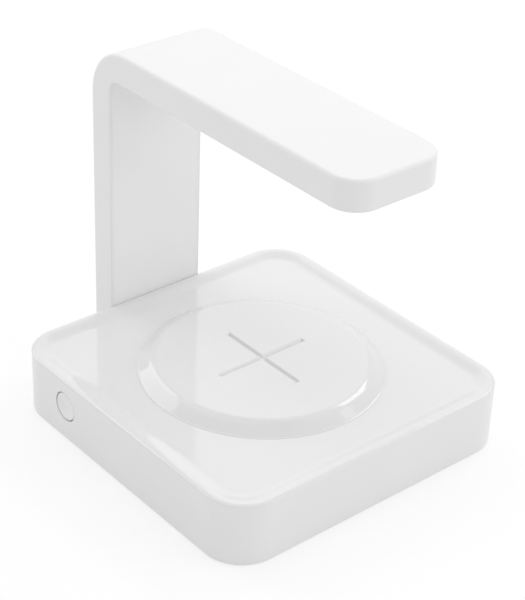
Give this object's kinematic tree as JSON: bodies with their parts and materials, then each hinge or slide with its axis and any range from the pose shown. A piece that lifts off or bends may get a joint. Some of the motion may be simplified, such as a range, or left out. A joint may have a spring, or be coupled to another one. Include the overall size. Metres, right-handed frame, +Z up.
{
  "type": "wireless charger",
  "caption": "Desk wireless charger: square dished base with a raised round charging pad and a flush side button, under a fixed lamp arm on a column.",
  "frame": {"origin": "on the table, under the middle of the charging pad", "axes": "+Z up, -Y to the front, where the arm's free end points; the column stands at +Y and the button is on the -X side"},
  "size_m": [0.1, 0.1088, 0.101],
  "materials": {
    "satin_shell": "satin moulded white plastic",
    "gloss_top": "polished white plastic",
    "pad_plastic": "polished white plastic",
    "cover_plastic": "fine spark-textured white plastic",
    "foot_rubber": "pale silicone rubber",
    "button_plastic": "satin moulded white plastic",
    "switch_plastic": "black moulded plastic",
    "inner_plastic": "plain moulded plastic",
    "circuit_board": "green solder resist",
    "lamp_circuit_board": "white solder resist",
    "screw_steel": "zinc plated steel",
    "inlet_steel": "nickel plated steel",
    "copper_litz": "enamelled copper wire",
    "ferrite": "pressed ferrite",
    "component_black": "moulded epoxy",
    "component_ceramic": "fired ceramic",
    "diffuser": "frosted clear plastic",
    "led_package": "white package with yellow resin",
    "cable_jacket": "white cable jacket"
  },
  "bodies": {
    "base": {"base_shell": "satin_shell", "top_tray": "gloss_top", "charging_pad": "pad_plastic", "bottom_cover": "cover_plastic", "foot_ring": "foot_rubber", "cover_screws": "screw_steel", "switch_body": "switch_plastic", "main_board": "circuit_board", "board_screws": "screw_steel", "usb_socket": "inlet_steel", "usb_tongue": "switch_plastic", "charge_coil": "copper_litz", "ferrite_sheet": "ferrite", "coil_carrier": "inner_plastic", "carrier_screws": "screw_steel", "coil_leads": "copper_litz", "controller_chip": "component_black", "power_inductor": "component_black", "tuning_capacitors": "component_ceramic", "arm_shell": "satin_shell", "arm_inner_cover": "gloss_top", "lamp_window": "diffuser", "lamp_board": "lamp_circuit_board", "lamp_board_screws": "screw_steel", "lamp_leds": "led_package", "arm_screws": "screw_steel", "lamp_cable": "cable_jacket", "lamp_plug": "inner_plastic", "lamp_socket": "inner_plastic"},
    "button": {"button_cap": "button_plastic", "switch_plunger": "switch_plastic"}
  },
  "joints": [
    {"name": "button_press", "type": "slide", "parent": "base", "child": "button", "axis": [1, 0, 0], "range_m": [0, 0.0004], "stiffness_N_per_m": 4000}
  ]
}
